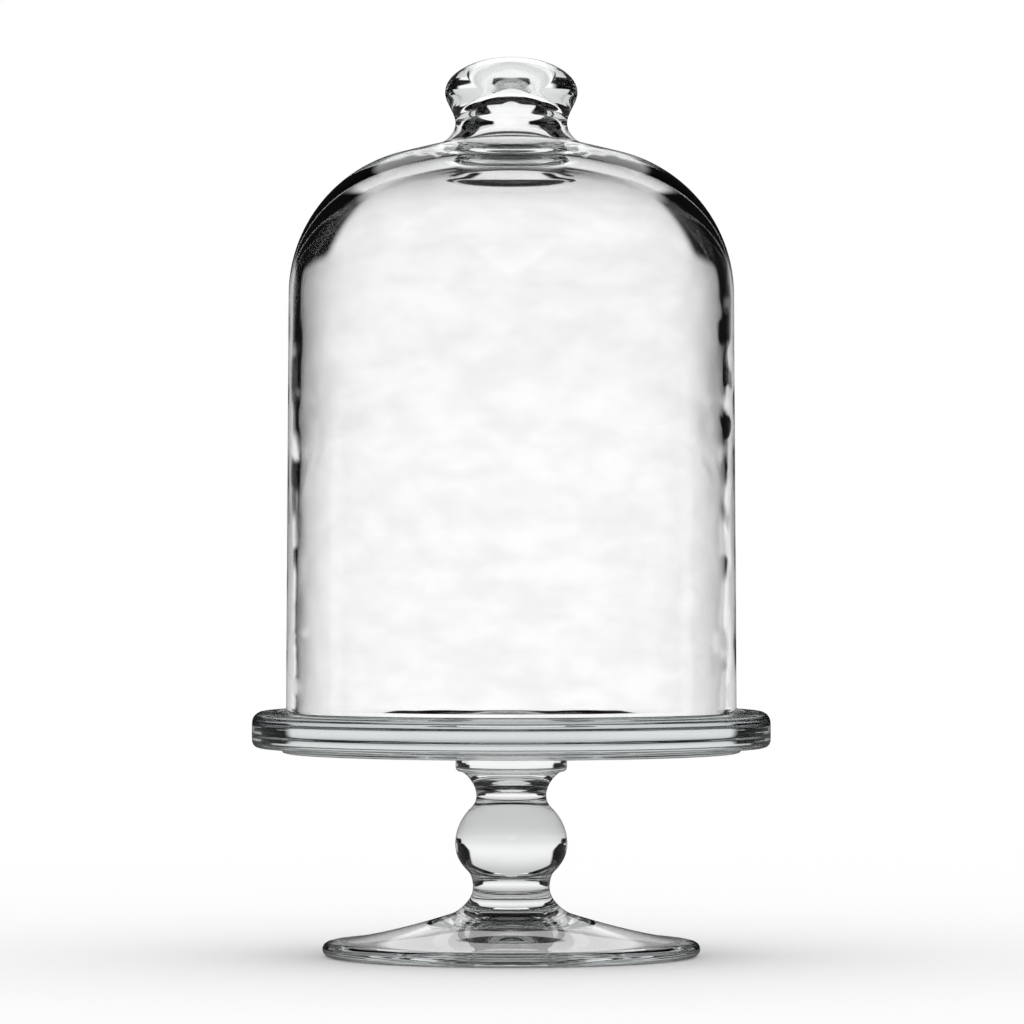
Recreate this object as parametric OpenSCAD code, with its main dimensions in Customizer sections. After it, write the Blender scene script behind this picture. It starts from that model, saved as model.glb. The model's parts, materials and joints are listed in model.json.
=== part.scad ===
// Glass dessert dome: a bell with a hollow knob, standing loose on a footed plate.
// Lengths are in millimetres, +Z is up, and the origin is on the table under the middle of the foot.

/* [Foot] */
// Diameter across the foot
foot_d = 87.6; // [80:0.2:100]
// Thickness of the foot at its rounded edge and under its slope
foot_edge_t = 3.4; // [2.8:0.1:4]
// Height of the foot from the table to the stem
foot_h = 10; // [8:0.2:13]
// Diameter of the foot's top, where the stem stands on it
foot_top_d = 26.4; // [24:0.2:32]
// Diameter of the hollow up the middle of the foot
foot_hollow_d = 19.2; // [15:0.2:21]
// Width of the flat ring that rests on the table
foot_ring_w = 3.4; // [2:0.2:6]
// Width of the thick part round the hollow, under the stem
foot_boss_w = 8.4; // [5:0.1:9.6]
// Height of the hollow's lower edge above the table
foot_dish_h = 3.5; // [2:0.1:4]
// Hollowness of the foot's upper slope, 1 for a straight cone
foot_slope_power = 1.4; // [1:0.1:2]

/* [Stem] */
// Height of the stem's base
base_h = 9.3; // [7:0.1:13]
// Diameter at the waist of the stem's base
base_waist_d = 17.7; // [14:0.1:18]
// Diameter of the seam between the base and the ball
base_top_d = 19.2; // [18.4:0.1:21]
// Diameter of the ball
ball_d = 26; // [23:0.2:34]
// Height of the ball below its middle
ball_low_h = 6.6; // [5:0.1:9]
// Height of the ball above its middle
ball_up_h = 8.9; // [6:0.1:11]
// Height of the neck
neck_h = 7.9; // [6:0.1:12]
// Diameter of the seam between the ball and the neck
neck_foot_d = 17.6; // [16.6:0.1:20]
// Diameter at the waist of the neck
neck_waist_d = 16.1; // [13:0.1:16.4]
// Diameter of the neck's flared top
neck_top_d = 22.6; // [18:0.2:24]
// Diameter of the collar under the plate
collar_d = 25.8; // [25:0.2:34]
// Height of the collar
collar_h = 4.3; // [3:0.1:6]
// Radius on the collar's lower edge
collar_round = 0.5; // [0.3:0.1:0.9]
// Sharpness of the flares, 1 for straight cones
flare_power = 2.1; // [1.2:0.1:3]

/* [Plate] */
// Diameter of the plate across its rim
plate_d = 120; // [100:1:150]
// Width of the rim outside the bell's seat
rim_w = 7.1; // [5.6:0.1:10]
// Height of the plate's rim
rim_h = 8.4; // [7:0.2:10]
// Radius on the rim's upper outer edge
rim_top_round = 2.6; // [1.5:0.1:3.2]
// Radius on the rim's lower outer edge
rim_low_round = 1.5; // [0.8:0.1:2.4]
// How far the disc under the plate stands in from the rim
disc_inset = 6.7; // [4:0.1:20]
// Height of the disc under the plate
disc_h = 1.3; // [0.8:0.1:2.5]
// Radius on the disc's lower edge
disc_round = 0.7; // [0.3:0.1:0.8]
// Height of the lip that keeps the bell in place
lip_h = 1.5; // [1:0.1:2.5]
// Width of the lip's inner slope
lip_slope_w = 1.2; // [0.6:0.1:1.8]
// Width of the flat seat that the bell stands on
seat_w = 5.4; // [4:0.2:8]
// Depth of the well inside the seat
well_h = 1; // [0.5:0.1:2]
// Width of the slope between the seat and the well
well_slope_w = 2; // [1:0.2:4]

/* [Bell] */
// Height of the bell from the plate to the knob
bell_h = 133.2; // [110:0.2:160]
// How much each side leans in from the mouth to the shoulder
bell_draft = 0.6; // [0.2:0.1:1.5]
// Thickness of the bell's wall
wall_t = 2.4; // [2:0.1:3]
// Thickness of the bell's crown
crown_t = 4; // [3.6:0.1:6]
// Width of the crown's slope between the shoulder and the knob
crown_w = 10; // [6:0.1:16]
// Slope of the crown between the shoulder and the knob, in degrees
crown_slope = 13.5; // [8:0.5:17]
// Radius on the edges of the bell's mouth
mouth_round = 0.8; // [0.4:0.1:0.9]
// Radius of the flare by which the knob's hollow opens into the bell
hole_round = 10; // [8:0.1:11]

/* [Knob] */
// Diameter of the knob
knob_d = 30.7; // [26:0.1:36]
// Height of the knob
knob_h = 19.6; // [16:0.2:26]
// Diameter of the knob's foot on the crown
knob_foot_d = 31; // [27:0.2:36]
// Diameter at the waist of the knob
knob_waist_d = 25.8; // [21:0.2:26]
// Height of the waist above the crown
knob_waist_h = 4.3; // [3:0.1:6]
// Height of the widest part above the waist
knob_swell_h = 7.1; // [5:0.1:9]
// Diameter of the hollow inside the knob
knob_hollow_d = 16.8; // [13:0.2:18]
// Height of the hollow above the crown
knob_hollow_h = 12.7; // [10.5:0.1:14]
// Height of the hollow's rounded top
knob_hollow_cap = 4; // [2:0.1:6]
// Width of the hollow's rounded top, as a share of its radius
knob_hollow_cap_share = 0.95; // [0.5:0.05:1]

/* [Fit] */
// Gap all round between the bell's mouth and the lip
bell_clear = 0.8; // [0.4:0.1:1.5]

/* [Hidden] */
$fn = 48;
arc_steps = 8;
curve_steps = 10;
// Place of the neck's waist and of the base's waist, as shares of their heights
neck_waist_share = 0.28;
base_waist_share = 0.64;
glass = [0.80, 0.88, 0.86, 0.5];

// The stack, from the table up
base_z = foot_h;
ball_z = base_z + base_h;
ball_mid_z = ball_z + ball_low_h;
neck_z = ball_mid_z + ball_up_h;
collar_z = neck_z + neck_h;
plate_z = collar_z + collar_h;
rim_z = plate_z + disc_h;
lip_z = rim_z + rim_h;
seat_z = lip_z - lip_h;
knob_z = seat_z + bell_h;

// Radii that two pieces share
foot_top_r = foot_top_d / 2;
base_top_r = base_top_d / 2;
neck_foot_r = neck_foot_d / 2;
hole_r = knob_hollow_d / 2;
knob_foot_r = knob_foot_d / 2;
plate_r = plate_d / 2;
disc_r = plate_r - disc_inset;
seat_r = plate_r - rim_w;
bell_r = seat_r - bell_clear;

// The bell's shoulder: one centre for its outer and its inner curve
shoulder_top_r = bell_r - bell_draft;
shoulder_r = (shoulder_top_r - knob_foot_r - crown_w) / (1 - sin(crown_slope));
shoulder_land_z = knob_z - (shoulder_top_r - shoulder_r - knob_foot_r) * tan(crown_slope);
shoulder_c = [shoulder_top_r - shoulder_r, shoulder_land_z - shoulder_r / cos(crown_slope)];
inner_rx = shoulder_r - wall_t;
inner_rz = shoulder_r - crown_t;
inner_end = shoulder_c + [inner_rx * sin(crown_slope), inner_rz * cos(crown_slope)];

// The flare from the crown's inside up into the knob, cut by the seam between the two
flare_r = hole_r + hole_round;
flare_c = [flare_r, inner_end[1] + hole_round + (inner_end[0] - flare_r) * tan(crown_slope)];
seam_a = 180 + asin((flare_c[1] - knob_z) / hole_round);

// Part of an ellipse round a centre, from one angle to another
function arc_points(centre, rx, rz, from, to) = [
    for (i = [0 : arc_steps])
        let (a = from + (to - from) * i / arc_steps)
        centre + [rx * cos(a), rz * sin(a)]
];

// A flare that leaves its wide end fast and comes level at its narrow end
function flare_points(wide, narrow, power) = [
    for (i = [0 : curve_steps])
        let (t = i / curve_steps)
        [narrow[0] + (wide[0] - narrow[0]) * pow(1 - t, power), wide[1] + (narrow[1] - wide[1]) * t]
];

// A soft S from one point to another, upright at both ends
function swell_points(from, to) = [
    for (i = [0 : curve_steps])
        let (t = i / curve_steps)
        [from[0] + (to[0] - from[0]) * t * t * (3 - 2 * t), from[1] + (to[1] - from[1]) * t]
];

function turned(points) = [for (i = [len(points) - 1 : -1 : 0]) points[i]];

module lathe(points) {
    color(glass)
        rotate_extrude()
            polygon(points);
}

// The foot: a full-round edge, a shell that slopes up to the stem and a hollow up its thick middle
module foot() {
    edge_r = foot_edge_t / 2;
    edge_c = [foot_d / 2 - edge_r, edge_r];
    hollow_r = foot_hollow_d / 2;
    ring_r = edge_c[0] - foot_ring_w;
    top_run = edge_c[0] - foot_top_r;
    under_run = ring_r - hollow_r - foot_boss_w;
    rise = foot_h - foot_edge_t;
    slope = [
        for (i = [1 : curve_steps])
            let (u = i / curve_steps)
            [edge_c[0] - top_run * u, foot_edge_t + rise * pow(u, foot_slope_power)]
    ];
    underside = [
        for (i = [0 : curve_steps])
            let (r = ring_r - under_run * (1 - i / curve_steps))
            [r, rise * pow((edge_c[0] - r) / top_run, foot_slope_power)]
    ];
    lathe(concat(
        [[hollow_r, foot_dish_h]],
        underside,
        [[ring_r, 0]],
        arc_points(edge_c, edge_r, edge_r, -90, 90),
        slope,
        [[hollow_r, foot_h]]
    ));
}

// The stem's base: it closes the foot's hollow, draws in to a waist and opens to the ball
module stem_base() {
    waist = [base_waist_d / 2, base_z + base_h * base_waist_share];
    lathe(concat(
        [[0, base_z]],
        flare_points([foot_top_r, base_z], waist, flare_power),
        turned(flare_points([base_top_r, ball_z], waist, flare_power)),
        [[0, ball_z]]
    ));
}

// The ball: two half ellipses that start from the seams below and above it
module stem_ball() {
    low_a = acos(base_top_d / ball_d);
    up_a = acos(neck_foot_d / ball_d);
    middle = [0, ball_mid_z];
    lathe(concat(
        [[0, ball_z]],
        arc_points(middle, ball_d / 2, ball_low_h / sin(low_a), -low_a, 0),
        arc_points(middle, ball_d / 2, ball_up_h / sin(up_a), 0, up_a),
        [[0, neck_z]]
    ));
}

// The neck: from the ball's seam in to a waist and out to the collar
module stem_neck() {
    waist = [neck_waist_d / 2, neck_z + neck_h * neck_waist_share];
    lathe(concat(
        [[0, neck_z]],
        flare_points([neck_foot_r, neck_z], waist, flare_power),
        turned(flare_points([neck_top_d / 2, collar_z], waist, flare_power)),
        [[0, collar_z]]
    ));
}

// The collar: a short plain disc between the neck and the plate
module stem_collar() {
    edge_c = [collar_d / 2 - collar_round, collar_z + collar_round];
    lathe(concat(
        [[0, collar_z]],
        arc_points(edge_c, collar_round, collar_round, -90, 0),
        [[collar_d / 2, plate_z], [0, plate_z]]
    ));
}

// The plate: a disc below, a heavy rounded rim, a lip, a flat seat for the bell and a shallow well
module plate() {
    disc_c = [disc_r - disc_round, plate_z + disc_round];
    low_c = [plate_r - rim_low_round, rim_z + rim_low_round];
    top_c = [plate_r - rim_top_round, lip_z - rim_top_round];
    well_r = seat_r - seat_w - well_slope_w;
    lathe(concat(
        [[0, plate_z]],
        arc_points(disc_c, disc_round, disc_round, -90, 0),
        [[disc_r, rim_z]],
        arc_points(low_c, rim_low_round, rim_low_round, -90, 0),
        arc_points(top_c, rim_top_round, rim_top_round, 0, 90),
        [
            [seat_r + lip_slope_w, lip_z],
            [seat_r, seat_z],
            [seat_r - seat_w, seat_z],
            [well_r, seat_z - well_h],
            [0, seat_z - well_h]
        ]
    ));
}

// The bell: a slightly drafted wall, a round shoulder and a sloping crown with a hole into the knob
module bell() {
    mouth_out_c = [bell_r - mouth_round, seat_z + mouth_round];
    mouth_in_c = [bell_r - wall_t + mouth_round, seat_z + mouth_round];
    lathe(concat(
        arc_points(mouth_out_c, mouth_round, mouth_round, -90, 0),
        arc_points(shoulder_c, shoulder_r, shoulder_r, 0, 90 - crown_slope),
        [[knob_foot_r, knob_z]],
        arc_points(flare_c, hole_round, hole_round, seam_a, 270 - crown_slope),
        arc_points(shoulder_c, inner_rx, inner_rz, 90 - crown_slope, 0),
        arc_points(mouth_in_c, mouth_round, mouth_round, 180, 270)
    ));
}

// The knob: a foot on the crown, a waist, a mushroom head and a hollow that joins the bell's inside
module knob() {
    waist = [knob_waist_d / 2, knob_z + knob_waist_h];
    widest = [knob_d / 2, waist[1] + knob_swell_h];
    top_h = knob_z + knob_h - widest[1];
    cap_w = hole_r * knob_hollow_cap_share;
    cap_c = [hole_r - cap_w, knob_z + knob_hollow_h - knob_hollow_cap];
    lathe(concat(
        flare_points([knob_foot_r, knob_z], waist, flare_power),
        swell_points(waist, widest),
        arc_points([0, widest[1]], knob_d / 2, top_h, 0, 90),
        [[0, knob_z + knob_hollow_h]],
        arc_points(cap_c, cap_w, knob_hollow_cap, 90, 0),
        arc_points(flare_c, hole_round, hole_round, 180, seam_a)
    ));
}

bell();
knob();
plate();
stem_collar();
stem_neck();
stem_ball();
stem_base();
foot();
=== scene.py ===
"""Glass food cover dome on a footed plate: looks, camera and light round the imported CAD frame."""

import json
import math

import bmesh
import bpy
import numpy as np
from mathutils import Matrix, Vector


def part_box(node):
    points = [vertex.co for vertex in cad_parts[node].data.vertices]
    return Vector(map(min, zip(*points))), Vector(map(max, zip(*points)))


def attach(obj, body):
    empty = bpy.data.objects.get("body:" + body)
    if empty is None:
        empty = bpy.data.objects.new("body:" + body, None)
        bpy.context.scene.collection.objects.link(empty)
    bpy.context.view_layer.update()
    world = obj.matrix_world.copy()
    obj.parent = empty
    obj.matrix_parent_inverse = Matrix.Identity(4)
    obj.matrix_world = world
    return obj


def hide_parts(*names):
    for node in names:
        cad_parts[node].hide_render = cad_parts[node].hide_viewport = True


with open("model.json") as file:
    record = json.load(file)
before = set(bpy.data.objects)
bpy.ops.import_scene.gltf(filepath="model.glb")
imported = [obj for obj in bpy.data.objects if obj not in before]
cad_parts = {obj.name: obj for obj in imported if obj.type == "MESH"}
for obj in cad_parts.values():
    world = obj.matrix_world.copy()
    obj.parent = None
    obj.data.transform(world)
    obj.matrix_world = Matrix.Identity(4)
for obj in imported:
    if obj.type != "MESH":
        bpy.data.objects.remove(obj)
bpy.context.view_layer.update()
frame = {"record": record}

MM = 0.001
DEGREES = 180 / math.pi
WHITE = (1, 1, 1, 1)

# The photograph: its scale, and where the part's axis and the table are in it
PHOTO_PX = 1024
MM_PER_PX = 0.2314
AXIS_PX = 511.3
TABLE_PX = 956.0
CAMERA_DISTANCE = 1620 * MM
SENSOR = 36.0
CLIP_END = 100

# Fineness of the turned glass
DOME_STEPS = 320
STAND_STEPS = 512
PROFILE_STEP = 0.7 * MM
POLISH_STEP = 0.15 * MM
CURVE_STEPS = 24
SHOULDER_STEPS = 60
SAME_POINT = 1e-9

# Dome: what the CAD boxes don't say
WALL = 2.4 * MM
CROWN = 4.0 * MM
CROWN_W = 10.0 * MM
CROWN_SLOPE = math.radians(13.5)
BELL_DRAFT = 0.6 * MM
MOUTH_ROUND = 1.1 * MM
HOLE_ROUND = 10 * MM
KNOB_FOOT_R = 15.5 * MM
KNOB_R = 15.35 * MM
KNOB_WAIST_R = 12.9 * MM
KNOB_WAIST_H = 4.3 * MM
KNOB_SWELL_H = 7.1 * MM
KNOB_HOLLOW_R = 8.4 * MM
KNOB_HOLLOW_H = 12.7 * MM
KNOB_HOLLOW_ROUND = 8.0 * MM
KNOB_HOLLOW_CAP = 4.0 * MM

# Hammer marks on the inside of the bell
MARK_W = 10.5 * MM
MARK_H = 11 * MM
MARK_DEPTH = 0.035 * MM
MARK_START = 3 * MM
MARK_RISE = 10 * MM
MARK_FADE = (134 * MM, 154 * MM)
MARK_STAGGER = 0.5
MARK_JITTER = 0.3
MARK_SOFTNESS = 6.0
MARK_SPAN = 3
MARK_HALFWAY = 0.25
MARK_LEAST = 1e-30
MARK_SEED = 7

# Stand: what the CAD boxes don't say
RIM_W = 7.1 * MM
RIM_TOP_ROUND = 2.6 * MM
RIM_LOW_ROUND = 1.5 * MM
DISC_INSET = 6.7 * MM
DISC_H = 1.3 * MM
DISC_ROUND = 0.7 * MM
LIP_H = 1.5 * MM
LIP_SLOPE_W = 1.2 * MM
SEAT_W = 5.4 * MM
WELL_H = 1.0 * MM
WELL_SLOPE_W = 2.0 * MM
COLLAR_ROUND = 0.5 * MM
NECK_FOOT_R = 8.8 * MM
NECK_WAIST_R = 8.05 * MM
NECK_WAIST_SHARE = 0.28
NECK_TOP_R = 11.3 * MM
BALL_LOW_H = 6.6 * MM
BASE_TOP_R = 9.6 * MM
BASE_WAIST_R = 8.85 * MM
BASE_WAIST_SHARE = 0.64
FLARE_POWER = 2.1
FOOT_EDGE_T = 3.4 * MM
FOOT_RING_W = 3.4 * MM
FOOT_BOSS_W = 8.4 * MM
FOOT_DISH_H = 3.5 * MM
FOOT_HOLLOW_R = 9.6 * MM
FOOT_SLOPE_POWER = 1.4

# Fire polish: how far a hot edge has flowed, and how many times that far the rounding reaches
DOME_POLISH = 0.45 * MM
STAND_POLISH = 0.5 * MM
POLISH_SPAN = 3

# Glass
GLASS_IOR = 1.52
GLASS_TINT = (0.66, 0.72, 0.72, 1)
GLASS_DENSITY = 8.0
DOME_STREAKS = 0.055
STAND_STREAKS = 0.04
STREAK_SCALE = (80.0, 80.0, 150.0)
STREAK_RANGE = (0.34, 0.66)
SMEAR_SCALE = 30.0
SMEAR_RANGE = (0.5, 0.75)
SMEAR_ROUGH = 0.012
GLASS_BOUNCES = 24
MIRROR_BOUNCES = 12

# Light by direction, in degrees: a white window to each of four sides, dark between them and overhead
FOUR_SIDES = 90.0
TWO_SIDES = 180.0
FRONT = (-0.02, 0.02)
WINDOW_EDGE = (6.5, 8.5)
FAN_FROM = 10.5
FAN_SOFT = 1.5
LOW_RIGHT = (13.5, 18.0)
LOW_RIGHT_WIDER = (0.9, 1.7, 12.0, 0.0)
LOW_LEFT = (-23.0, -18.0)
LOW_TOP = (6.0, 8.5)
LOW_FADE = (4.0, 11.0)
LOW_LEVEL = 0.75
CORNER = (33.0, 36.0)
HORIZON = (-0.4, 0.8)
CEILING = (38.0, 42.0)
CEILING_LEVEL = 0.02
VEIL = (-2.5, 6.0)
VEIL_LEVEL = 0.93
DARK_LEVEL = 0.004
GLASS_LIGHT = 1.2
GLOSS_LEVEL = 0.01

# Light that the glass has mirrored inside itself: its level, and where it is dimmed or spared
INNER_LEVEL = 0.012
INNER_TURN = (0.6, 0.8)
INNER_NEAR = (-0.01, 0.01)
INNER_DEEP = (2.0, 3.0)
INNER_FLOOR = (0.04, 0.055)
INNER_FAR = (0.65, 0.85)
INNER_SWEEP = (0.045, 0.06)

# The floor, which glass sees glowing with painted light and painted shade, and a low sweep that only glass
# sees: headings in degrees, lengths in metres
FLOOR_R = 3.0
FLOOR_DROP = 0.02 * MM
FLOOR_SIDES = 128
# Painted shade: the floor's glow for glass is darker near the foot and lighter further out
FLOOR_GLOW_NEAR = 0.67
FLOOR_LIGHT = 0.88
FLOOR_RISE = (0.05, 0.25)
# Painted shade on the floor under the foot, for glass
FLOOR_SHADE = 0.5
FLOOR_SHADE_EDGE = (0.034, 0.052)
# Painted shadow: the floor glows dark for glass inside the foot's hollow
FLOOR_PAINTED_SHADOW = (0.0115, 0.0135)
# Painted glow of the floor in what the glass mirrors
FLOOR_MIRRORED_GLOW = 0.1
FLOOR_DEEP = 1.3
SIDE_DARK = (51.0, 54.0, 76.0, 79.0)
SIDE_REACH = (0.25, 0.35)
TABLE_REACH = (2.3, 2.8)
TABLE_LEFT = (-34.0, -26.0)
TABLE_RIGHT = (40.0, 46.0)
SWEEP_R = 0.23
SWEEP_H = 0.148
SWEEP_SIDES = 256
SWEEP_FADE = (0.126, 0.147)
SWEEP_RISE = (0.0, 0.04)
SWEEP_FALL = (0.04, 0.13)
SWEEP_LEVELS = (0.87, 1.06, 0.62)
SWEEP_EDGE = (33.0, 37.0)
SWEEP_SPREAD = (0.0, 0.05)
SWEEP_WIDER = 18.0
SWEEP_CLOSE = (0.095, 0.145)
SWEEP_NARROWER = 34.0
SIDE_STRIP = (80.0, 83.0)


def radius(node):
    """Half the width of a CAD node."""
    low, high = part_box(node)
    return (high.x - low.x) / 2


def bottom(node):
    """Lowest height of a CAD node."""
    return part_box(node)[0].z


def top(node):
    """Greatest height of a CAD node."""
    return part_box(node)[1].z


# Profiles: lists of (radius, height)


def arc(centre, rx, rz, start, end, steps=CURVE_STEPS):
    """Part of an ellipse round a centre, angles in degrees."""
    angles = np.radians(np.linspace(start, end, steps + 1))
    return [(centre[0] + rx * math.cos(a), centre[1] + rz * math.sin(a)) for a in angles]


def flare(wide, narrow, steps=CURVE_STEPS):
    """Leaves its wide end fast and comes level at its narrow end."""
    points = []
    for t in np.linspace(0, 1, steps + 1):
        reach = (1 - t) ** FLARE_POWER
        points.append((narrow[0] + (wide[0] - narrow[0]) * reach, wide[1] + (narrow[1] - wide[1]) * t))
    return points


def swell(start, end, steps=CURVE_STEPS):
    """A soft S from one point to another, upright at both ends."""
    points = []
    for t in np.linspace(0, 1, steps + 1):
        ease = t * t * (3 - 2 * t)
        points.append((start[0] + (end[0] - start[0]) * ease, start[1] + (end[1] - start[1]) * t))
    return points


def evenly(points, step):
    """The same line with points at even distances."""
    line = np.array(points, float)
    gaps = np.linalg.norm(np.diff(line, axis=0), axis=1)
    keep = np.concatenate(([True], gaps > SAME_POINT))
    line = line[keep]
    along = np.concatenate(([0], np.cumsum(np.linalg.norm(np.diff(line, axis=0), axis=1))))
    count = max(2, int(round(along[-1] / step)) + 1)
    wanted = np.linspace(0, along[-1], count)
    return np.column_stack([np.interp(wanted, along, line[:, k]) for k in (0, 1)])


def polish(points, reach):
    """Rounds every crease of a line that starts and ends on the axis, as fire polish does."""
    line = evenly(points, POLISH_STEP)
    half = int(math.ceil(POLISH_SPAN * reach / POLISH_STEP))
    weights = np.exp(-0.5 * (np.arange(-half, half + 1) * POLISH_STEP / reach) ** 2)
    weights /= weights.sum()
    mirror = np.array([-1, 1])
    before = line[1:half + 1][::-1] * mirror
    after = line[-half - 1:-1][::-1] * mirror
    padded = np.vstack([before, line, after])
    smooth = np.column_stack([np.convolve(padded[:, k], weights, "valid") for k in (0, 1)])
    smooth[0, 0] = smooth[-1, 0] = 0
    return evenly(smooth, PROFILE_STEP)


def dome_outside():
    """From the knob's tip down to the middle of the mouth."""
    knob_z, knob_top = bottom("knob"), top("knob")
    mouth_z, mouth_r = bottom("bell"), radius("bell")
    waist = (KNOB_WAIST_R, knob_z + KNOB_WAIST_H)
    widest = (KNOB_R, waist[1] + KNOB_SWELL_H)
    points = arc((0, widest[1]), KNOB_R, knob_top - widest[1], 90, 0)
    points += swell(widest, waist)
    points += flare((KNOB_FOOT_R, knob_z), waist)[::-1]
    centre, shoulder_r = shoulder()
    points += arc(centre, shoulder_r, shoulder_r, 90 - math.degrees(CROWN_SLOPE), 0, SHOULDER_STEPS)
    points += arc((mouth_r - MOUTH_ROUND, mouth_z + MOUTH_ROUND), MOUTH_ROUND, MOUTH_ROUND, 0, -90)
    return points


def shoulder():
    """Centre and radius of the bell's outer shoulder."""
    knob_z, top_r = bottom("knob"), radius("bell") - BELL_DRAFT
    reach = (top_r - KNOB_FOOT_R - CROWN_W) / (1 - math.sin(CROWN_SLOPE))
    land_z = knob_z - (top_r - reach - KNOB_FOOT_R) * math.tan(CROWN_SLOPE)
    turn_z = land_z - reach / math.cos(CROWN_SLOPE)
    return (top_r - reach, turn_z), reach


def dome_inside():
    """From the middle of the mouth up the inner wall and into the knob's hollow."""
    knob_z, mouth_z, mouth_r = bottom("knob"), bottom("bell"), radius("bell")
    centre, shoulder_r = shoulder()
    rx, rz = shoulder_r - WALL, shoulder_r - CROWN
    slope = math.degrees(CROWN_SLOPE)
    inner_end = (centre[0] + rx * math.sin(CROWN_SLOPE), centre[1] + rz * math.cos(CROWN_SLOPE))
    flare_r = KNOB_HOLLOW_R + HOLE_ROUND
    flare_z = inner_end[1] + HOLE_ROUND + (inner_end[0] - flare_r) * math.tan(CROWN_SLOPE)
    points = arc((mouth_r - WALL + MOUTH_ROUND, mouth_z + MOUTH_ROUND), MOUTH_ROUND, MOUTH_ROUND, 270, 180)
    points += arc(centre, rx, rz, 0, 90 - slope, SHOULDER_STEPS)
    points += arc((flare_r, flare_z), HOLE_ROUND, HOLE_ROUND, 270 - slope, 180)
    hollow_top = knob_z + KNOB_HOLLOW_H
    points += arc((KNOB_HOLLOW_R - KNOB_HOLLOW_ROUND, hollow_top - KNOB_HOLLOW_CAP),
                  KNOB_HOLLOW_ROUND, KNOB_HOLLOW_CAP, 0, 90)
    points.append((0, hollow_top))
    return points


def stand_profile():
    """From the middle of the plate's well round the rim, down the stem and under the foot."""
    plate_r, plate_z, lip_z = radius("plate"), bottom("plate"), top("plate")
    seat_z, rim_z = lip_z - LIP_H, plate_z + DISC_H
    seat_r, disc_r = plate_r - RIM_W, plate_r - DISC_INSET
    well_z = seat_z - WELL_H
    points = [(0, well_z), (seat_r - SEAT_W - WELL_SLOPE_W, well_z), (seat_r - SEAT_W, seat_z)]
    points += [(seat_r, seat_z), (seat_r + LIP_SLOPE_W, lip_z)]
    points += arc((plate_r - RIM_TOP_ROUND, lip_z - RIM_TOP_ROUND), RIM_TOP_ROUND, RIM_TOP_ROUND, 90, 0)
    points += arc((plate_r - RIM_LOW_ROUND, rim_z + RIM_LOW_ROUND), RIM_LOW_ROUND, RIM_LOW_ROUND, 0, -90)
    points.append((disc_r, rim_z))
    points += arc((disc_r - DISC_ROUND, plate_z + DISC_ROUND), DISC_ROUND, DISC_ROUND, 0, -90)
    collar_r, collar_z = radius("stem_collar"), bottom("stem_collar")
    points.append((collar_r, plate_z))
    points += arc((collar_r - COLLAR_ROUND, collar_z + COLLAR_ROUND), COLLAR_ROUND, COLLAR_ROUND, 0, -90)
    neck_z = bottom("stem_neck")
    waist = (NECK_WAIST_R, neck_z + (collar_z - neck_z) * NECK_WAIST_SHARE)
    points += flare((NECK_TOP_R, collar_z), waist)
    points += flare((NECK_FOOT_R, neck_z), waist)[::-1]
    points += ball_points()
    base_z, ball_z = bottom("stem_base"), bottom("stem_ball")
    waist = (BASE_WAIST_R, base_z + (ball_z - base_z) * BASE_WAIST_SHARE)
    points += flare((BASE_TOP_R, ball_z), waist)
    points += flare((radius("stem_base"), base_z), waist)[::-1]
    return points + foot_points()


def ball_points():
    """Two half ellipses between the seams above and below the ball."""
    ball_r, ball_z, neck_z = radius("stem_ball"), bottom("stem_ball"), top("stem_ball")
    middle = ball_z + BALL_LOW_H
    up = math.acos(NECK_FOOT_R / ball_r)
    low = math.acos(BASE_TOP_R / ball_r)
    points = arc((0, middle), ball_r, (neck_z - middle) / math.sin(up), math.degrees(up), 0)
    return points + arc((0, middle), ball_r, BALL_LOW_H / math.sin(low), 0, -math.degrees(low))


def foot_points():
    """The foot's slope, its full-round edge, the ring on the table, the underside and the hollow."""
    foot_h, top_r, edge_r = top("foot"), radius("stem_base"), FOOT_EDGE_T / 2
    edge_c = (radius("foot") - edge_r, edge_r)
    ring_r, boss_r = edge_c[0] - FOOT_RING_W, FOOT_HOLLOW_R + FOOT_BOSS_W

    def rise(r):
        return (foot_h - FOOT_EDGE_T) * ((edge_c[0] - r) / (edge_c[0] - top_r)) ** FOOT_SLOPE_POWER

    points = [(r, FOOT_EDGE_T + rise(r)) for r in np.linspace(top_r, edge_c[0], CURVE_STEPS + 1)]
    points += arc(edge_c, edge_r, edge_r, 90, -90)
    points.append((ring_r, 0))
    points += [(r, rise(r)) for r in np.linspace(ring_r, boss_r, CURVE_STEPS + 1)]
    return points + [(FOOT_HOLLOW_R, FOOT_DISH_H), (FOOT_HOLLOW_R, foot_h), (0, foot_h)]


# Meshes


def mark_centres(length):
    """Hammer marks as (share of a turn, distance up the inner wall), on a shaken brick pattern."""
    rng = np.random.default_rng(MARK_SEED)
    columns = int(round(2 * math.pi * (radius("bell") - WALL) / MARK_W))
    centres = []
    for row in range(int(length / MARK_H) + 2):
        for column in range(columns):
            shaken = column + MARK_STAGGER * (row % 2) + rng.uniform(-MARK_JITTER, MARK_JITTER)
            up = (row + rng.uniform(-MARK_JITTER, MARK_JITTER)) * MARK_H
            centres.append((shaken / columns % 1.0, up))
    return np.array(centres), columns


def hammer_relief(along, turns):
    """How far the inner wall stands out, for every height along it and every share of a turn.

    Halfway between two marks the raw relief is a quarter, which is scaled to the marks' depth.
    """
    centres, columns = mark_centres(along[-1])
    relief = np.zeros((len(along), len(turns)))
    for i, s in enumerate(along):
        near = centres[np.abs(centres[:, 1] - s) < MARK_SPAN * MARK_H]
        if not len(near):
            continue
        side = np.abs(near[:, 0][:, None] - turns[None, :])
        side = np.minimum(side, 1 - side) * columns
        up = (near[:, 1][:, None] - s) / MARK_H
        total = np.exp(-MARK_SOFTNESS * (side ** 2 + up ** 2)).sum(axis=0)
        relief[i] = -np.log(np.maximum(total, MARK_LEAST)) / MARK_SOFTNESS
    return relief * MARK_DEPTH / MARK_HALFWAY


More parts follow.
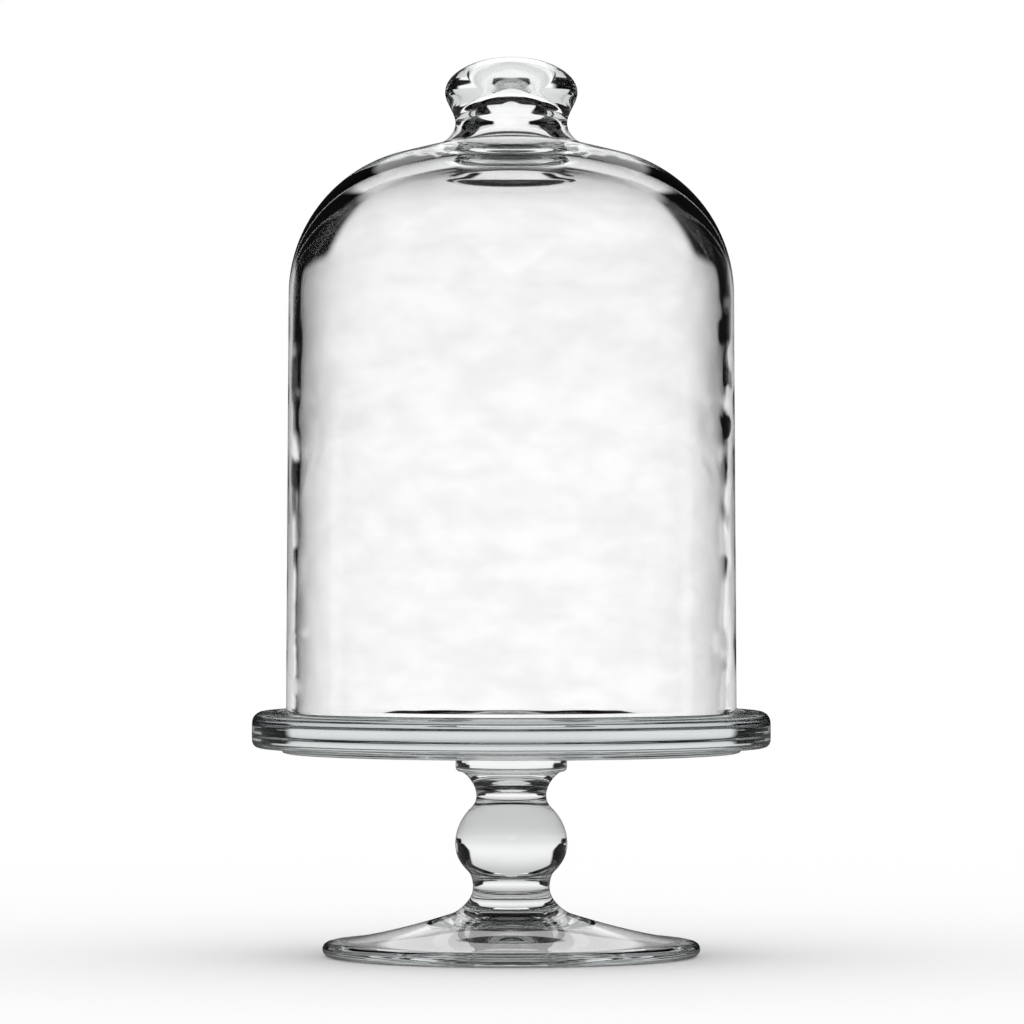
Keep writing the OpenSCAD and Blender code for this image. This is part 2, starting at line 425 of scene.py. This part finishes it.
def turned_mesh(name, rings, count):
    """A closed mesh from rings of points; the first and the last ring are single points on the axis."""
    points = [tuple(rings[0][0])]
    for ring in rings[1:-1]:
        points.extend(map(tuple, ring))
    points.append(tuple(rings[-1][0]))
    last, faces = len(points) - 1, []
    for k in range(count):
        n = (k + 1) % count
        faces.append((0, 1 + k, 1 + n))
        for i in range(len(rings) - 3):
            a, b = 1 + i * count, 1 + (i + 1) * count
            faces.append((a + k, b + k, b + n, a + n))
        end = 1 + (len(rings) - 3) * count
        faces.append((end + k, last, end + n))
    mesh = bpy.data.meshes.new(name)
    mesh.from_pydata(points, [], faces)
    piece = bpy.data.objects.new(name, mesh)
    bpy.context.scene.collection.objects.link(piece)
    turn_outwards(mesh)
    for face in mesh.polygons:
        face.use_smooth = True
    return piece


def turn_outwards(mesh):
    """Makes every face look out of the glass."""
    work = bmesh.new()
    work.from_mesh(mesh)
    bmesh.ops.recalc_face_normals(work, faces=work.faces)
    work.to_mesh(mesh)
    work.free()


def rings_of(profile, count, relief=None):
    """Turns a profile about the axis; relief moves the points along the profile's own normal."""
    turns = np.arange(count) / count
    angles = 2 * math.pi * turns
    ahead = np.gradient(profile, axis=0)
    ahead /= np.linalg.norm(ahead, axis=1)[:, None]
    normal = np.column_stack([-ahead[:, 1], ahead[:, 0]])
    rings = []
    for i, (r, z) in enumerate(profile):
        push = np.zeros(count) if relief is None else relief[i]
        radii, heights = r + normal[i, 0] * push, z + normal[i, 1] * push
        rings.append(np.column_stack([radii * np.cos(angles), radii * np.sin(angles), heights]))
    return rings


def make_dome():
    """Bell and knob in one closed skin, smooth outside and hammered inside."""
    profile = polish(dome_outside() + dome_inside(), DOME_POLISH)
    mouth = int(np.argmin(profile[:, 1]))
    along = np.concatenate(([0], np.cumsum(np.linalg.norm(np.diff(profile, axis=0), axis=1))))
    along = along - along[mouth]
    relief = np.zeros((len(profile), DOME_STEPS))
    turns = np.arange(DOME_STEPS) / DOME_STEPS
    inner = slice(mouth, len(profile))
    relief[inner] = hammer_relief(along[inner], turns)
    fade_in = np.clip((along - MARK_START) / MARK_RISE, 0, 1)
    fade_out = np.clip((MARK_FADE[1] - profile[:, 1]) / (MARK_FADE[1] - MARK_FADE[0]), 0, 1)
    relief *= (fade_in * fade_out)[:, None]
    return turned_mesh("dome_glass", rings_of(profile, DOME_STEPS, relief), DOME_STEPS)


def make_stand():
    """Plate, stem and foot in one closed skin."""
    profile = polish(stand_profile(), STAND_POLISH)
    return turned_mesh("stand_glass", rings_of(profile, STAND_STEPS), STAND_STEPS)


# Materials, light and camera


class Nodes:
    """Short ways to add nodes to a tree."""

    def __init__(self, tree):
        self.tree = tree

    def new(self, kind, **values):
        node = self.tree.nodes.new(kind)
        for name, value in values.items():
            setattr(node, name, value)
        return node

    def feed(self, value, socket):
        """Sets a number on a socket, or links an output to it."""
        if isinstance(value, (int, float)):
            socket.default_value = value
        else:
            self.tree.links.new(value, socket)

    def position(self):
        """The shaded point's place."""
        place = self.new("ShaderNodeSeparateXYZ")
        self.feed(self.new("ShaderNodeNewGeometry").outputs["Position"], place.inputs[0])
        return place.outputs

    def noise(self, scale):
        """Soft noise that stays with the piece."""
        place = self.new("ShaderNodeMapping")
        place.inputs["Scale"].default_value = scale
        self.feed(self.new("ShaderNodeTexCoord").outputs["Object"], place.inputs["Vector"])
        noise = self.new("ShaderNodeTexNoise")
        noise.inputs["Scale"].default_value = 1.0
        self.feed(place.outputs[0], noise.inputs["Vector"])
        return noise.outputs["Fac"]

    def math(self, operation, *values):
        node = self.new("ShaderNodeMath", operation=operation)
        for value, socket in zip(values, node.inputs):
            self.feed(value, socket)
        return node.outputs[0]

    def blend(self, share, first, second):
        """First where share is 0, second where it is 1."""
        node = self.new("ShaderNodeMix", data_type="FLOAT")
        for value, place in ((share, 0), (first, 2), (second, 3)):
            self.feed(value, node.inputs[place])
        return node.outputs[0]

    def step(self, value, low, high, start=0.0, end=1.0):
        """A soft step from start to end as value goes from low to high."""
        node = self.new("ShaderNodeMapRange", interpolation_type="SMOOTHSTEP")
        names = ("Value", "From Min", "From Max", "To Min", "To Max")
        for name, part in zip(names, (value, low, high, start, end)):
            self.feed(part, node.inputs[name])
        return node.outputs[0]


def glass_material(name, streaks):
    """Clear glass with a faint green in its thickness, soft streaks and a slight smear on its polish."""
    material = bpy.data.materials.new(name)
    material.use_nodes = True
    n = Nodes(material.node_tree)
    shader = material.node_tree.nodes["Principled BSDF"]
    shader.inputs["Transmission Weight"].default_value = 1.0
    shader.inputs["IOR"].default_value = GLASS_IOR
    n.feed(n.step(n.noise(STREAK_SCALE), *STREAK_RANGE, 1.0 - streaks, 1.0), shader.inputs["Base Color"])
    n.feed(n.step(n.noise((SMEAR_SCALE,) * 3), *SMEAR_RANGE, 0.0, SMEAR_ROUGH), shader.inputs["Roughness"])
    absorb = n.new("ShaderNodeVolumeAbsorption")
    absorb.inputs["Color"].default_value = GLASS_TINT
    absorb.inputs["Density"].default_value = GLASS_DENSITY
    n.feed(absorb.outputs[0], material.node_tree.nodes["Material Output"].inputs["Volume"])
    return material


def folded_heading(n, x, y, period):
    """Degrees to the right of straight ahead, the same again after every period."""
    heading = n.math("MULTIPLY", n.math("ARCTAN2", x, y), DEGREES)
    half = period / 2
    return n.math("SUBTRACT", n.math("FLOORED_MODULO", n.math("ADD", heading, half), period), half)


def in_front(n, y):
    """1 on the side of the photograph's camera, 0 behind the part."""
    return n.step(y, *FRONT, 1.0, 0.0)


def sector_light(n, x, y, left, right):
    """A lit sector behind, a narrow lit strip to each side and light all over in front."""
    heading = folded_heading(n, x, y, TWO_SIDES)
    main = n.math("MULTIPLY", n.step(heading, *left), n.step(heading, *right, 1.0, 0.0))
    main = n.math("MAXIMUM", main, in_front(n, y))
    return n.math("MAXIMUM", main, n.step(n.math("ABSOLUTE", heading), *SIDE_STRIP))


def window_light(n, heading, height, y):
    """A narrow window, wider to the right low down, with a fan above it; low corners are lit in front."""
    aside = n.math("ABSOLUTE", heading)
    narrow = n.step(aside, *WINDOW_EDGE, 1.0, 0.0)
    right = n.math("SUBTRACT", heading, n.step(height, *LOW_RIGHT_WIDER))
    low = n.math("MULTIPLY", n.step(heading, *LOW_LEFT), n.step(right, *LOW_RIGHT, 1.0, 0.0))
    low = n.math("MAXIMUM", low, n.math("MULTIPLY", n.step(aside, *CORNER), in_front(n, y)))
    low = n.math("MULTIPLY", low, n.step(aside, *LOW_FADE, 1.0, LOW_LEVEL))
    low = n.math("MULTIPLY", low, n.step(height, *VEIL, 1.0, VEIL_LEVEL))
    return n.math("MAXIMUM", n.blend(n.step(height, *LOW_TOP), low, narrow), fan_light(n, heading, height))


def fan_light(n, heading, height):
    """High up the window opens like a fan, to the ceiling."""
    beyond = n.math("SUBTRACT", n.math("ADD", n.math("ABSOLUTE", heading), FAN_FROM), height)
    fan = n.step(beyond, -FAN_SOFT, FAN_SOFT, 1.0, 0.0)
    return n.blend(n.step(height, *CEILING), fan, CEILING_LEVEL)


def inner_dimming(n, y, turn, spared=0.0):
    """Dims what the glass mirrors inside itself and throws to the front, or sends through more glass.

    Where spared is 1, light that is mirrored twice or more keeps its level.
    """
    path = n.new("ShaderNodeLightPath")
    depth = path.outputs["Glossy Depth"]
    once = n.math("MINIMUM", depth, 1.0)
    twice = n.math("MINIMUM", n.math("MAXIMUM", n.math("SUBTRACT", depth, 1.0), 0.0), spared)
    deep = n.step(path.outputs["Transmission Depth"], *INNER_DEEP)
    front = n.math("MAXIMUM", n.step(y, *turn, 1.0, 0.0), deep)
    return n.blend(n.math("MULTIPLY", n.math("SUBTRACT", once, twice), front), 1.0, INNER_LEVEL)


def make_world():
    """White for the camera and for plain light; glass sees white windows with dark between them."""
    world = bpy.data.worlds.new("studio")
    bpy.context.scene.world = world
    world.use_nodes = True
    world.node_tree.nodes.clear()
    n = Nodes(world.node_tree)
    direction = n.new("ShaderNodeSeparateXYZ")
    n.feed(n.new("ShaderNodeTexCoord").outputs["Generated"], direction.inputs[0])
    x, y, z = direction.outputs
    height = n.math("MULTIPLY", n.math("ARCSINE", z), DEGREES)
    heading = folded_heading(n, x, y, FOUR_SIDES)
    above = window_light(n, heading, height, y)
    lit = n.blend(n.step(height, *HORIZON), sector_light(n, x, y, TABLE_LEFT, TABLE_RIGHT), above)
    through = n.math("MULTIPLY", n.blend(lit, DARK_LEVEL, GLASS_LIGHT), inner_dimming(n, y, INNER_TURN))
    mirrored = n.blend(fan_light(n, folded_heading(n, x, y, TWO_SIDES), height), GLOSS_LEVEL, 1.0)
    path = n.new("ShaderNodeLightPath")
    seen = n.blend(path.outputs["Is Transmission Ray"], mirrored, through)
    in_glass = n.math("MAXIMUM", path.outputs["Is Glossy Ray"], path.outputs["Is Transmission Ray"])
    background = n.new("ShaderNodeBackground")
    background.inputs["Color"].default_value = WHITE
    n.feed(n.blend(in_glass, 1.0, seen), background.inputs["Strength"])
    output = n.new("ShaderNodeOutputWorld")
    n.feed(background.outputs[0], output.inputs["Surface"])


def painted_floor_glow(n, x, y, reach):
    """The painted glow that glass sees on the table: light grey, with painted shade under the foot and a
    painted shadow in its hollow, ending in painted dark to both sides.
    """
    far = n.blend(sector_light(n, x, y, TABLE_LEFT, TABLE_RIGHT), DARK_LEVEL, 1.0)
    # Painted shade: darker glow near the foot, lighter further out
    near = n.step(reach, *FLOOR_RISE, FLOOR_GLOW_NEAR, FLOOR_LIGHT)
    aside = n.math("ABSOLUTE", folded_heading(n, x, y, TWO_SIDES))
    side = n.math("MULTIPLY", n.step(aside, *SIDE_DARK[:2]), n.step(aside, *SIDE_DARK[2:], 1.0, 0.0))
    side = n.math("MULTIPLY", side, n.math("SUBTRACT", 1.0, in_front(n, y)))
    near = n.blend(n.math("MULTIPLY", side, n.step(reach, *SIDE_REACH)), near, DARK_LEVEL)
    # Painted shade under the foot
    near = n.blend(n.step(reach, *FLOOR_SHADE_EDGE), FLOOR_SHADE, near)
    # Painted shadow inside the foot's hollow
    near = n.blend(n.step(reach, *FLOOR_PAINTED_SHADOW), DARK_LEVEL, near)
    return n.blend(n.step(reach, *TABLE_REACH), near, far)


def floor_material():
    """White to the camera; to glass a table that glows with a painted tone of its own, painted light and
    painted shade.
    """
    material = bpy.data.materials.new("floor_white_painted_glow")
    material.use_nodes = True
    n = Nodes(material.node_tree)
    shader = material.node_tree.nodes["Principled BSDF"]
    shader.inputs["Roughness"].default_value = 1.0
    shader.inputs["Specular IOR Level"].default_value = 0.0
    x, y, _ = n.position()
    reach = n.math("SQRT", n.math("ADD", n.math("MULTIPLY", x, x), n.math("MULTIPLY", y, y)))
    path = n.new("ShaderNodeLightPath")
    deep = n.step(path.outputs["Transmission Depth"], *INNER_DEEP)
    spared = n.blend(deep, 1.0, n.step(reach, *INNER_FAR, 1.0, 0.0))
    spared = n.math("MULTIPLY", spared, n.step(reach, *INNER_FLOOR))
    dimming = inner_dimming(n, y, INNER_NEAR, spared)
    # The floor's glow for glass: painted light and painted shade, from no lamp
    glass_glow = n.math("MULTIPLY", painted_floor_glow(n, x, y, reach), dimming)
    glass_glow = n.math("MULTIPLY", glass_glow, n.blend(deep, 1.0, FLOOR_DEEP))
    glass_glow = n.blend(path.outputs["Is Transmission Ray"], FLOOR_MIRRORED_GLOW, glass_glow)
    camera = path.outputs["Is Camera Ray"]
    n.feed(camera, shader.inputs["Base Color"])
    shader.inputs["Emission Color"].default_value = WHITE
    # Only rays that are not camera rays see the floor glow with this painted light
    n.feed(n.blend(camera, glass_glow, 0.0), shader.inputs["Emission Strength"])
    material.cycles.emission_sampling = "NONE"
    return material


def sweep_material():
    """White in its lit sectors, brightest low down, fading out at its top."""
    material = bpy.data.materials.new("sweep_white")
    material.use_nodes = True
    material.node_tree.nodes.clear()
    n = Nodes(material.node_tree)
    x, y, z = n.position()
    aside = n.math("ABSOLUTE", folded_heading(n, x, y, TWO_SIDES))
    inward = n.math("SUBTRACT", aside, n.step(z, *SWEEP_SPREAD, SWEEP_WIDER, 0.0))
    inward = n.math("ADD", inward, n.step(z, *SWEEP_CLOSE, 0.0, SWEEP_NARROWER))
    lit = n.math("MAXIMUM", n.step(inward, *SWEEP_EDGE, 1.0, 0.0), n.step(aside, *SIDE_STRIP))
    cover = n.math("MULTIPLY", lit, n.step(z, *SWEEP_FADE, 1.0, 0.0))
    depth = n.new("ShaderNodeLightPath").outputs["Transmission Depth"]
    low, middle, high = SWEEP_LEVELS
    level = n.blend(n.step(z, *SWEEP_FALL), n.step(z, *SWEEP_RISE, low, middle), high)
    level = n.blend(n.step(depth, *INNER_DEEP), level, GLASS_LIGHT)
    white = n.new("ShaderNodeEmission")
    dimming = inner_dimming(n, y, INNER_NEAR, n.step(z, *INNER_SWEEP, 1.0, 0.0))
    n.feed(n.math("MULTIPLY", level, dimming), white.inputs["Strength"])
    clear = n.new("ShaderNodeBsdfTransparent")
    mix = n.new("ShaderNodeMixShader")
    n.feed(cover, mix.inputs[0])
    n.feed(clear.outputs[0], mix.inputs[1])
    n.feed(white.outputs[0], mix.inputs[2])
    n.feed(mix.outputs[0], n.new("ShaderNodeOutputMaterial").inputs["Surface"])
    material.cycles.emission_sampling = "NONE"
    return material


def stage_object(name, work, material):
    """Adds a piece of the studio that is no piece of the part."""
    mesh = bpy.data.meshes.new(name)
    work.to_mesh(mesh)
    work.free()
    mesh.materials.append(material)
    piece = bpy.data.objects.new(name, mesh)
    bpy.context.scene.collection.objects.link(piece)
    return piece


def make_floor():
    """A round floor just under the foot, and the low sweep standing on it."""
    work = bmesh.new()
    bmesh.ops.create_circle(work, cap_ends=True, radius=FLOOR_R, segments=FLOOR_SIDES)
    stage_object("floor", work, floor_material()).location.z = -FLOOR_DROP
    work = bmesh.new()
    bmesh.ops.create_cone(work, cap_ends=False, radius1=SWEEP_R, radius2=SWEEP_R, depth=SWEEP_H,
                          segments=SWEEP_SIDES)
    bmesh.ops.translate(work, verts=work.verts, vec=(0, 0, SWEEP_H / 2))
    sweep = stage_object("sweep", work, sweep_material())
    sweep.visible_camera = sweep.visible_diffuse = sweep.visible_shadow = False
    sweep.visible_glossy = False


def make_camera():
    """Level, at the height of the middle of the photograph."""
    data = bpy.data.cameras.new("camera")
    camera = bpy.data.objects.new("camera", data)
    bpy.context.scene.collection.objects.link(camera)
    pixel, middle = MM_PER_PX * MM, PHOTO_PX / 2
    data.sensor_width = SENSOR
    data.lens = SENSOR * CAMERA_DISTANCE / (PHOTO_PX * pixel)
    data.clip_end = CLIP_END
    camera.location = ((middle - AXIS_PX) * pixel, -CAMERA_DISTANCE, (TABLE_PX - middle) * pixel)
    camera.rotation_euler = (math.pi / 2, 0, 0)
    bpy.context.scene.camera = camera


def dress(piece, body, material, nodes):
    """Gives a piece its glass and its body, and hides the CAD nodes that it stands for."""
    piece.data.materials.append(material)
    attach(piece, body)
    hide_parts(*nodes)


scene = bpy.context.scene
scene.view_settings.view_transform = "Standard"
scene.cycles.max_bounces = GLASS_BOUNCES
scene.cycles.transmission_bounces = GLASS_BOUNCES
scene.cycles.glossy_bounces = MIRROR_BOUNCES

bodies = frame["record"]["behaviour"]["bodies"]
make_camera()
make_world()
make_floor()
dress(make_dome(), "dome", glass_material("dome_glass", DOME_STREAKS), bodies["dome"])
dress(make_stand(), "stand", glass_material("stand_glass", STAND_STREAKS), bodies["stand"])
